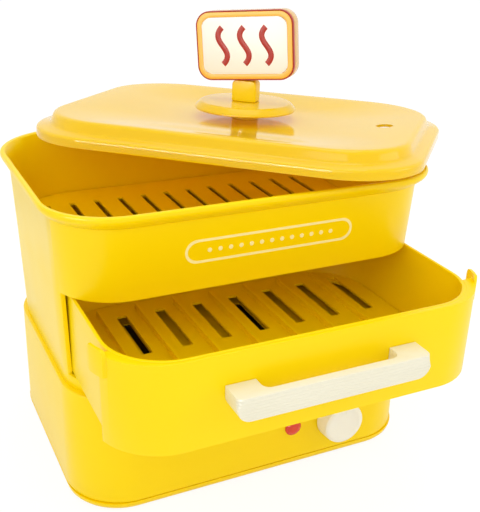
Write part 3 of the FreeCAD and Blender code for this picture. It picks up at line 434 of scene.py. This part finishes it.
def metal(name, hex_colour, roughness, grain_size, stretch):
    # Bare metal: grey, with fine lines or sparkle from how it was worked.
    made, tree = new_finish(name)
    place = node(tree, "TexCoord").node.outputs["Object"]
    lines = node(tree, "Mapping", {"Scale": (1, stretch, 1)}, {"Vector": place})
    grain = node(tree, "TexNoise", {"Scale": per(grain_size), "Detail": 3.0}, {"Vector": lines})
    skin = node(tree, "Bump", {"Strength": 0.3, "Distance": 0.03 * MM}, {"Height": grain})
    wear = node(tree, "MapRange", {"To Min": roughness - 0.1, "To Max": roughness + 0.1},
                {"Value": grain})
    shader = node(tree, "BsdfPrincipled", {"Base Color": linear(hex_colour), "Metallic": 1.0},
                  {"Roughness": wear, "Normal": skin})
    cover(tree, shader)
    return made


def dark_moulding(name, hex_colour, roughness):
    # Black nylon or rubber: nearly matt, with a grainy skin.
    made, tree = new_finish(name)
    place = node(tree, "TexCoord").node.outputs["Object"]
    grain = node(tree, "TexNoise", {"Scale": per(0.8), "Detail": 3.0}, {"Vector": place})
    skin = node(tree, "Bump", {"Strength": 0.4, "Distance": 0.05 * MM}, {"Height": grain})
    shader = node(tree, "BsdfPrincipled", {"Base Color": linear(hex_colour),
                                           "Roughness": roughness, "IOR": 1.5},
                  {"Normal": skin})
    cover(tree, shader)
    return made


yellow = moulded_polypropylene("polypropylene_yellow", "#FFDE00", "#FFDA00", 0.3)
post_yellow = moulded_polypropylene("polypropylene_post", "#FFDC00", "#FFD600", 0.3)
amber = clear_amber()
# Painted shade: the grip's white is a darker, warmer copy of the knob's white ABS, which tones down
# its directly lit front and warms its upper faces.
grip_white_shaded = white_abs("abs_white_ribbed_shaded", "#F0EBD4", "#EAE4CA", 2.4)
knob_white = white_abs("abs_white", "#F6F4E8", "#F0EEE2", None)
lens_red = lens_polycarbonate()
sign_red = moulded_polypropylene("abs_sign_red", "#B62C12", "#AC2810", 0.3)
ink_orange = printed("ink_orange", "#FFBE2C")
ink_pale = printed("ink_pale", "#FDFBF4")
sign_amber = backing_amber()
ink_cream = printed("ink_cream", "#FFF3A8")
steel = metal("steel_zinc_plated", "#B9B9BA", 0.35, 0.5, 6)
aluminium = metal("aluminium_cast", "#B4B4B6", 0.5, 1.4, 1)
sheath = metal("steel_oxidised_sheath", "#5A5652", 0.5, 0.9, 4)
nylon_black = dark_moulding("nylon_black", "#1B1B1C", 0.5)
rubber_dark = dark_moulding("rubber_dark", "#26241F", 0.75)


# Camera

# The place, the angles in radians and the lens come from a fit to the photograph.
LENS, SENSOR = 58.41, 36
eye = Vector((-269.2, -609.9, 445.4)) * MM
yaw, pitch, roll = 0.4575, 0.4118, 0.0327
ahead = Vector((math.sin(yaw) * math.cos(pitch), math.cos(yaw) * math.cos(pitch),
                -math.sin(pitch)))
level_right = ahead.cross(Vector((0, 0, 1))).normalized()
level_up = level_right.cross(ahead)
right = level_right * math.cos(roll) + level_up * math.sin(roll)
up = level_up * math.cos(roll) - level_right * math.sin(roll)
camera = bpy.data.objects.new("camera", bpy.data.cameras.new("camera"))
camera.data.lens = LENS
camera.data.sensor_width = SENSOR
camera.data.clip_start = 0.01
camera.matrix_world = Matrix((
    (right.x, up.x, -ahead.x, eye.x),
    (right.y, up.y, -ahead.y, eye.y),
    (right.z, up.z, -ahead.z, eye.z),
    (0, 0, 0, 1)))
bpy.context.collection.objects.link(camera)
bpy.context.scene.camera = camera


# Sizes that several pieces share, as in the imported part

SEAM = 8.3
DECK = 102
BAY_LOW = 111.5
DRAWER_LOW = 113
DRAWER_TOP = 178.5
APRON_LOW = 179.5
FRONT_CORNER, REAR_CORNER = 47, 60
BASE_WALL, CABINET_WALL, DRAWER_WALL = 2.8, 2.5, 2.8
DRAWER_OUT = 89
OVERRUN = 5
QUARTER_TURN = math.radians(90)


# Base

DECK_THICKNESS = 2.5
PAN_CORNER = 26
base_bottom = Plan(151, 114, 117, FRONT_CORNER, REAR_CORNER)
base_top = Plan(151, 113.5, 115, FRONT_CORNER, REAR_CORNER)
pan_hole = Plan(130, 90, 90, PAN_CORNER, PAN_CORNER)

base = shell("base_body",
             (base_bottom, SEAM), (base_top, DECK), (pan_hole, DECK),
             (pan_hole, DECK - DECK_THICKNESS),
             (shrunk(base_top, BASE_WALL), DECK - DECK_THICKNESS),
             (shrunk(base_bottom, BASE_WALL), SEAM))
soften(base, 1.6, 4)
dress(base, "base", "yellow_plastic", yellow, "base_front_wall", "base_rear_wall",
      "base_left_wall", "base_right_wall", "deck_plate")

BOTTOM_PROFILE = ((4.5, 1.5), (2.2, 2.2), (0.9, 4.0), (0.2, 6.2), (0, 8.0))
BOTTOM_WALL = 2.5
BOTTOM_RECESS = 4
bottom = tower("bottom_plate", *insets(base_bottom, BOTTOM_PROFILE))
step_in(BOTTOM_WALL, 0)
rise(-BOTTOM_RECESS)
end()
smooth(bottom)
dress(bottom, "base", "yellow_plastic", yellow, "bottom_cover")


# Front controls

CONTROL_LEVEL = 40
KNOB_SIDE, KNOB_SEAT = 71, -114.8
LAMP_SIDE, LAMP_SEAT = 29, -114.1
KNOB_PROFILE = ((17, 0), (19, 0), (19, 0.8), (18.3, 10.6), (17.7, 12.4), (16.4, 13.3),
                (14.7, 13.5), (13.5, 13.3), (12.6, 12.9), (4, 12.7))
LENS_PROFILE = ((6.9, 0), (7.2, 0), (7.2, 0.9), (7, 1.2), (6.3, 1.3), (5.8, 2.2),
                (4.7, 3.1), (3.1, 3.6), (1.4, 3.8))
MARK_HALF_WIDTH, MARK_START = 0.8, 10.4


def face_on(piece, side, seat):
    """Turns a round piece to the front and seats it at the level of the controls."""
    return settle(piece, (QUARTER_TURN, 0, 0), (side, seat, CONTROL_LEVEL))


knob = turned("knob_cap", *KNOB_PROFILE)
knob_radius, knob_face = KNOB_PROFILE[1][0], KNOB_PROFILE[-1][1]
mark = block("mark_cutter", (-MARK_HALF_WIDTH, MARK_START, knob_face),
             (MARK_HALF_WIDTH, knob_radius + OVERRUN, knob_face + OVERRUN))
combine(knob, mark, "DIFFERENCE")
soften(knob, 0.35, 2, 50)
face_on(knob, KNOB_SIDE, KNOB_SEAT)
dress(knob, "knob", "white_plastic", knob_white, "control_knob")

lens = turned("lamp_cap", *LENS_PROFILE)
smooth(lens)
face_on(lens, LAMP_SIDE, LAMP_SEAT)
dress(lens, "base", "red_lens", lens_red, "lamp_lens")


# Cabinet

HOUSING_LOW = 102.1
NECK, NECK_INSIDE = 235.5, 236.5
BAY_REAR = -76
housing_foot = Plan(148, 109.5, 111.5, FRONT_CORNER, REAR_CORNER)
housing_waist = Plan(151, 107.5, 111, FRONT_CORNER, REAR_CORNER)
housing_neck = Plan(153.5, 110, 114, FRONT_CORNER, REAR_CORNER)
rim = Plan(160, 118, 118, FRONT_CORNER, REAR_CORNER)
RIM_PROFILE = ((5.2, 237.6), (2.8, 239.6), (1.1, 241.4), (0.3, 243), (0, 244.8),
               (0.4, 246.2), (1.3, 247), (3.4, 247), (4.5, 246))

cabinet = shell("cabinet_body",
                (housing_foot, HOUSING_LOW), (housing_waist, APRON_LOW), (housing_neck, NECK),
                *insets(rim, RIM_PROFILE),
                (shrunk(housing_neck, CABINET_WALL), NECK_INSIDE),
                (shrunk(housing_waist, CABINET_WALL), APRON_LOW),
                (shrunk(housing_foot, CABINET_WALL), HOUSING_LOW))
beyond = rim.half_width + OVERRUN
bay = block("bay_cutter", (-beyond, -rim.front - OVERRUN, BAY_LOW),
            (beyond, BAY_REAR, APRON_LOW))
combine(cabinet, bay, "DIFFERENCE")
soften(cabinet, 0.9, 3, 40)
dress(cabinet, "cabinet", "yellow_plastic", yellow, "housing_shell")


# Drawer, made closed and then pulled out

DRAWER_FLOOR = 2.5
WINDOW_FRAME = 9
box_plan = Plan(143.2, 106.3, 100, 43.8, 52)
box_inner = shrunk(box_plan, DRAWER_WALL)
box_window = shrunk(box_plan, DRAWER_WALL + WINDOW_FRAME)
tub = shell("drawer_tub",
            (box_plan, DRAWER_LOW), (box_plan, DRAWER_TOP), (box_inner, DRAWER_TOP),
            (box_inner, DRAWER_LOW + DRAWER_FLOOR), (box_window, DRAWER_LOW + DRAWER_FLOOR),
            (box_window, DRAWER_LOW))
soften(tub, 0.8, 3, 40)
shift(tub, y=-DRAWER_OUT)
dress(tub, "drawer", "yellow_plastic", yellow, "drawer_box")

FRONT_LOW = 111.8
FRONT_END = -76.8
front_bottom = Plan(149, 110.5, 96, 47, 52)
front_top = Plan(150.5, 109.5, 96, 47, 52)
front_inner = Plan(143.3, 106.4, 92, 43.9, 48)
front = shell("drawer_face", (front_bottom, FRONT_LOW), (front_top, DRAWER_TOP),
              (front_inner, DRAWER_TOP), (front_inner, FRONT_LOW))
reopen(front)
trim((0, FRONT_END, 0), (0, 1, 0))
end()

EAR_LOW, EAR_TOP = 164, 183.5
EAR_FRONT, EAR_END = -84.8, -68.8
EAR_ROUND = 4.5
ear_inner = Plan(151.6, 108.1, 111.6, 47.6, 60.6)
ear_outer = Plan(153.5, 110, 113.5, 49.8, 62.8)
ears = shell("ear_tabs", (ear_inner, EAR_LOW), (ear_inner, EAR_TOP), (ear_outer, EAR_TOP),
             (ear_outer, EAR_LOW))
reopen(ears)
trim((0, EAR_END, 0), (0, 1, 0))
trim((0, EAR_FRONT, 0), (0, -1, 0))
choose("EDGE", lambda spot: at(spot.z, EAR_TOP) and (at(spot.y, EAR_END) or at(spot.y, EAR_FRONT))
       or at(spot.z, EAR_LOW) and at(spot.y, EAR_END), along=(1, 0, 0))
round_off(EAR_ROUND, 8)
end()
root_outer = Plan(152.5, 109, 112.5, 48.7, 61.7)
root_inner = Plan(147.2, 107.6, 111, 47, 60)
roots = shell("ear_roots", (root_outer, EAR_LOW), (root_outer, DRAWER_TOP),
              (root_inner, DRAWER_TOP), (root_inner, EAR_LOW))
reopen(roots)
trim((0, FRONT_END, 0), (0, 1, 0))
trim((0, EAR_FRONT, 0), (0, -1, 0))
end()
combine(ears, roots, "UNION")
combine(front, ears, "UNION")
soften(front, 0.8, 3, 40)
shift(front, y=-DRAWER_OUT)
dress(front, "drawer", "yellow_plastic", yellow, "drawer_front")

GRIP_BACK = -110.2
GRIP_HALF, GRIP_DEPTH = 74.5, 20
GRIP_LOW, GRIP_TOP = 138.5, 156
FINGER_HALF, FINGER_DEPTH = 52.5, 13
LOWER_ROUND, FRONT_ROUND, FINGER_ROUND = 10, 5, 6
grip_face = GRIP_BACK - GRIP_DEPTH
bar_back = GRIP_BACK - FINGER_DEPTH
grip = block("grip", (-GRIP_HALF, grip_face, GRIP_LOW), (GRIP_HALF, GRIP_BACK, GRIP_TOP))
finger_room = block("finger_cutter", (-FINGER_HALF, bar_back, GRIP_LOW - OVERRUN),
                    (FINGER_HALF, GRIP_BACK + OVERRUN, GRIP_TOP + OVERRUN))
combine(grip, finger_room, "DIFFERENCE")
reopen(grip)
choose("EDGE", lambda spot: at(spot.z, GRIP_LOW) and at(abs(spot.x), GRIP_HALF), along=(0, 1, 0))
round_off(LOWER_ROUND, 8)
choose("EDGE", lambda spot: at(spot.y, grip_face), along=(0, 0, 1))
round_off(FRONT_ROUND, 6)
choose("EDGE", lambda spot: at(spot.y, bar_back) and at(abs(spot.x), FINGER_HALF),
       along=(0, 0, 1))
round_off(FINGER_ROUND, 6)
end()
soften(grip, 1.0, 3, 40)
shift(grip, y=-DRAWER_OUT)
dress(grip, "drawer", "white_plastic", grip_white_shaded, "drawer_handle")


# Lid, made about its own middle and laid askew on the rim

LEAN_BACK, LEAN_RIGHT, LID_TURN = -2.2, 1.7, -43.3
LID_SPOT = Vector((43, 24, 254.8))
LID_TURNS = (Matrix.Rotation(math.radians(LEAN_BACK), 4, "X")
             @ Matrix.Rotation(math.radians(LEAN_RIGHT), 4, "Y")
             @ Matrix.Rotation(math.radians(LID_TURN), 4, "Z"))


def lay(piece):
    """Takes a piece from the middle of the level lid to the lid as it lies."""
    return settle(piece, LID_TURNS.to_euler(), LID_SPOT)


LID_CORNER = 62
LID_WALL = 2.2
lid_plan = Plan(161, 118.5, 118.5, LID_CORNER, LID_CORNER)
LID_PROFILE = ((0, 0), (0, 5.6), (0.3, 6.6), (1.1, 7.5), (2.6, 8.1), (8.2, 9.0), (9.4, 9.8),
               (10.2, 11.2), (11.5, 15.4), (12.2, 16.8), (13.4, 17.8), (14.7, 18.2),
               (16.5, 18.2))
LID_DISH = ((0.8, 17.6), (0.68, 15.9), (0.55, 14.0), (0.45, 12.9), (0.36, 12.5))
lid = tower("lid_dome", *insets(lid_plan, LID_PROFILE),
            *((scaled(lid_plan, share), level) for share, level in LID_DISH))
choose("FACE", lambda spot: at(spot.z, 0))
bpy.ops.mesh.delete(type="FACE")
end()
press(lid, "SOLIDIFY", thickness=LID_WALL * MM, offset=-1.0, use_even_offset=True)

VENT_RADIUS, VENT_X, VENT_Y = 7, 120, 5
LID_TOP = 18.2
vent = turned("vent_cutter", (VENT_RADIUS, LID_TOP - 2 * OVERRUN), (VENT_RADIUS, LID_TOP + OVERRUN))
shift(vent, VENT_X, VENT_Y)
combine(lid, vent, "DIFFERENCE")
smooth(lid)
lay(lid)
dress(lid, "lid", "amber_clear_plastic", amber, "lid_shell")

SKIRT_INSET = 8
SKIRT_LOW, SKIRT_TOP = -2, 6.4
skirt_outer = shrunk(lid_plan, SKIRT_INSET)
skirt_inner = shrunk(skirt_outer, LID_WALL)
skirt = shell("lid_skirt", (skirt_outer, SKIRT_LOW), (skirt_outer, SKIRT_TOP),
              (skirt_inner, SKIRT_TOP), (skirt_inner, SKIRT_LOW))
soften(skirt, 0.5, 2, 40)
lay(skirt)
dress(skirt, "lid", "amber_clear_plastic", amber)

DISC_PROFILE = ((11.5, 12.7), (11.5, 19.5), (12.6, 20.4), (14.5, 20.7), (42.0, 20.7),
                (43.0, 21.1), (43.5, 21.9), (43.3, 22.7), (42.4, 23.7), (40.6, 25.4),
                (39.4, 26.5), (38.2, 27.1), (36.8, 27.2))
disc = turned("handle_saucer", *DISC_PROFILE)
smooth(disc)
lay(disc)
dress(disc, "lid", "amber_clear_plastic", amber, "handle_disc")

POST_HALF, POST_HALF_DEPTH = 10.5, 7
POST_LOW, POST_TOP = 27.3, 45.3
POST_ROUND = 4
post = block("sign_stand", (-POST_HALF, -POST_HALF_DEPTH, POST_LOW),
             (POST_HALF, POST_HALF_DEPTH, POST_TOP))
reopen(post)
choose("EDGE", lambda spot: at(spot.z, POST_TOP), along=(0, 1, 0))
round_off(POST_ROUND, 8)
end()
soften(post, 1.0, 4, 40)
lay(post)
dress(post, "lid", "post_plastic", post_yellow, "sign_post")


# Sign on the lid's post

SIGN_LEAN = math.radians(5)
SIGN_MIDDLE = 74.35
BOARD_FACE, BACKING_REAR = 5, 9
BORDER_SEAT, MARK_SEAT = 8.85, 9.95


def hang(piece, distance):
    """Stands a flat piece up before the post's middle, leaning in its own plane."""
    settle(piece, (0, 0, SIGN_LEAN))
    settle(piece, (QUARTER_TURN, 0, 0), (0, -distance, SIGN_MIDDLE))
    return lay(piece)


SIGN_CORNER = 12
BOARD_THICKNESS, BOARD_EDGE, BOARD_RECESS = 5, 1, 1.2
BACKING_THICKNESS = 13.9
PRINT_THICKNESS = 1.1
BORDER_INSET, BORDER_WIDTH, FIELD_GAP = 1.1, 4, 0.1
sign_plan = Plan(42, 28.25, 28.25, SIGN_CORNER, SIGN_CORNER)
board = outline("sign_board", sign_plan, 0, filled=True)
rise(BOARD_THICKNESS)
step_in(BOARD_EDGE, 0)
rise(-BOARD_RECESS)
end()
soften(board, 0.4, 2, 40)
hang(board, BOARD_FACE)
dress(board, "lid", "red_plastic", sign_red, "sign_plate")

backing = outline("sign_backing", sign_plan, 0, filled=True)
rise(BACKING_THICKNESS)
end()
soften(backing, 1.6, 4, 40)
hang(backing, -BACKING_REAR)
dress(backing, "lid", "amber_clear_plastic", sign_amber, "sign_back")

border_outer = shrunk(sign_plan, BORDER_INSET)
border_inner = shrunk(border_outer, BORDER_WIDTH)
border = shell("sign_border", (border_outer, 0), (border_outer, PRINT_THICKNESS),
               (border_inner, PRINT_THICKNESS), (border_inner, 0))
soften(border, 0.15, 2, 40)
hang(border, BORDER_SEAT)
dress(border, "lid", "orange_print", ink_orange, "sign_band")

field = outline("sign_field", shrunk(border_inner, FIELD_GAP), 0, filled=True)
rise(PRINT_THICKNESS)
end()
soften(field, 0.15, 2, 40)
hang(field, BORDER_SEAT)
dress(field, "lid", "pale_print", ink_pale, "sign_face")

WAVE_GAP = 19
WAVE_POINTS = ((0, -15), (6.5, -9), (0, 0), (-6.5, 9), (0, 15))
WAVE_RADIUS = 2.4
WAVE_FLATNESS = 0.12


def wave(x):
    """One line of rising steam, as a flat ribbon."""
    bpy.ops.object.select_all(action="DESELECT")
    bpy.ops.curve.primitive_nurbs_path_add()
    piece = bpy.context.object
    spline = piece.data.splines[0]
    for point, (side, height) in zip(spline.points, WAVE_POINTS):
        point.co = ((x + side) * MM, height * MM, 0, 1)
    spline.order_u = 4
    spline.use_endpoint_u = True
    piece.data.bevel_depth = WAVE_RADIUS * MM
    piece.data.bevel_resolution = 4
    piece.data.use_fill_caps = True
    bpy.ops.object.convert(target="MESH")
    begin("wave")
    bpy.ops.transform.resize(value=(1, 1, WAVE_FLATNESS), center_override=(0, 0, 0))
    end()
    smooth(piece)
    return piece


steam = join(wave(-WAVE_GAP), wave(0), wave(WAVE_GAP))
steam.name = "steam_mark"
hang(steam, MARK_SEAT)
dress(steam, "lid", "red_plastic", sign_red)


# Badge on the apron

APRON_RISE, APRON_REACH = 57.5, 2.5
BADGE_SIDE, BADGE_LEVEL = 3.6, 210.25
BADGE_SUNK, BADGE_PROUD = -0.2, 0.25


def on_apron(piece):
    """Lays a flat piece on the slope of the apron's front."""
    slope = math.atan2(APRON_REACH, APRON_RISE)
    depth = -housing_waist.front - APRON_REACH * (BADGE_LEVEL - APRON_LOW) / APRON_RISE
    return settle(piece, (QUARTER_TURN + slope, 0, 0), (BADGE_SIDE, depth, BADGE_LEVEL))


LINE_WIDTH = 1.9
line_outer = Plan(69.45, 9.3, 9.3, 9.25, 9.25)
line_inner = shrunk(line_outer, LINE_WIDTH)
line = shell("badge_ring", (line_outer, BADGE_SUNK), (line_outer, BADGE_PROUD),
             (line_inner, BADGE_PROUD), (line_inner, BADGE_SUNK))
smooth(line)
on_apron(line)
dress(line, "cabinet", "pale_print", ink_cream)

DOT_COUNT, DOT_GAP = 13, 8.4
DOT_PROFILE = ((1.7, BADGE_SUNK), (1.7, 0.2), (1.4, BADGE_PROUD))
dots = join(*(shift(turned("badge_dot", *DOT_PROFILE), DOT_GAP * (index - DOT_COUNT // 2))
              for index in range(DOT_COUNT)))
dots.name = "badge_dots"
smooth(dots)
on_apron(dots)
dress(dots, "cabinet", "pale_print", ink_cream)


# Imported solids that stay

KEPT = {
    "deck_ring": yellow, "cover_bosses": yellow, "cover_screws": steel, "feet": rubber_dark,
    "water_pan": steel, "heater_plate": aluminium, "heating_element": sheath,
    "element_clamps": steel, "thermostat": aluminium, "thermal_fuse": aluminium,
    "terminal_block": nylon_black, "cord_gland": rubber_dark, "control_switch": nylon_black,
    "switch_nut": steel, "control_shaft": steel, "lamp_holder": nylon_black,
    "drip_tray": yellow, "tray_ledge": yellow, "drawer_runners": yellow, "upper_tray": yellow,
    "handle_screws": steel, "drawer_rack": yellow, "lid_washer": steel, "lid_screw": steel,
}
for name, finish in KEPT.items():
    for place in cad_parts[name].material_slots:
        place.material = finish


# Studio

DIM = 0.2  # share of its light that the front of the studio keeps in mirror images


def seen_or(tree, glossy):
    """One for rays that show the studio itself, else a share for mirrored rays."""
    rays = node(tree, "LightPath").node
    mirrored = node(tree, "Math", wires={0: rays.outputs["Is Glossy Ray"], 1: glossy},
                    operation="MULTIPLY")
    shown = node(tree, "Math", wires={0: rays.outputs["Is Camera Ray"],
                                      1: rays.outputs["Is Transmission Ray"]},
                 operation="MAXIMUM")
    return node(tree, "Math", wires={0: shown, 1: mirrored}, operation="MAXIMUM")


def studio_white():
    # Painted board: pale, matt, white to the camera but for the shadow, dim at the front.
    made, tree = new_finish("board_painted_white")
    place = node(tree, "TexCoord").node.outputs["Object"]
    grain = node(tree, "TexNoise", {"Scale": per(3)}, {"Vector": place})
    skin = node(tree, "Bump", {"Strength": 0.05, "Distance": 0.1 * MM}, {"Height": grain})
    paint = node(tree, "BsdfDiffuse", {"Color": linear("#F7F7F7")}, {"Normal": skin})
    light = node(tree, "Emission", {"Color": (1, 1, 1, 1), "Strength": 1.08})
    depth = node(tree, "SeparateXYZ", wires={"Vector": place}).node.outputs["Y"]
    mirrored = node(tree, "MapRange", {"From Min": -0.35, "From Max": 0.05, "To Min": DIM,
                                       "To Max": 1.0}, {"Value": depth})
    share = node(tree, "Math", {1: 0.8}, {0: seen_or(tree, mirrored)}, operation="MULTIPLY")
    cover(tree, node(tree, "MixShader", wires={0: share, 1: paint, 2: light}))
    return made


bpy.ops.object.select_all(action="DESELECT")
bpy.ops.mesh.primitive_plane_add(size=12)
floor = begin("floor")
end()
floor.data.materials.append(studio_white())

world = bpy.data.worlds.new("studio")
bpy.context.scene.world = world
world.use_nodes = True
sky = world.node_tree
sky.nodes.clear()
heading = node(sky, "TexCoord").node.outputs["Generated"]
depth = node(sky, "SeparateXYZ", wires={"Vector": heading}).node.outputs["Y"]
mirrored = node(sky, "MapRange", {"From Min": -0.5, "From Max": 0.3, "To Min": DIM,
                                  "To Max": 1.0}, {"Value": depth})
plain = node(sky, "Background", {"Color": (1, 1, 1, 1), "Strength": 0.84})
white = node(sky, "Background", {"Color": (1, 1, 1, 1), "Strength": 1.0})
node(sky, "OutputWorld", wires={"Surface": node(sky, "MixShader", wires={
    0: seen_or(sky, mirrored), 1: plain, 2: white})})


def softbox(name, spot, goal, width, height, power):
    """Hangs a lamp of this width and height at a spot, in metres, facing a goal."""
    light = bpy.data.lights.new(name, "AREA")
    light.shape = "RECTANGLE"
    light.size = width
    light.size_y = height
    light.energy = power
    lamp = bpy.data.objects.new(name, light)
    lamp.location = spot
    lamp.rotation_euler = (Vector(goal) - Vector(spot)).to_track_quat("-Z", "Y").to_euler()
    bpy.context.collection.objects.link(lamp)
    return lamp


FRONT, INSIDE, LID = (0, 0, 0.15), (0, 0, 0.2), (0.04, 0.02, 0.27)
softbox("key", (-0.9, -1.4, 1.3), FRONT, 1.1, 1.1, 6.5)
softbox("fill", (1.5, -1.0, 0.8), FRONT, 1.0, 1.0, 4)
softbox("top", (0.1, 0.2, 1.9), INSIDE, 1.2, 1.2, 6)
for level, power in ((0.41, 7), (0.72, 6)):
    # Seen only as a bright line along the lip and the shoulder of the lid.
    strip = softbox("lid_strip", (-0.99, -0.56, level), LID, 0.8, 0.12, power)
    strip.visible_diffuse = False

view = bpy.context.scene.view_settings
view.view_transform = "Standard"
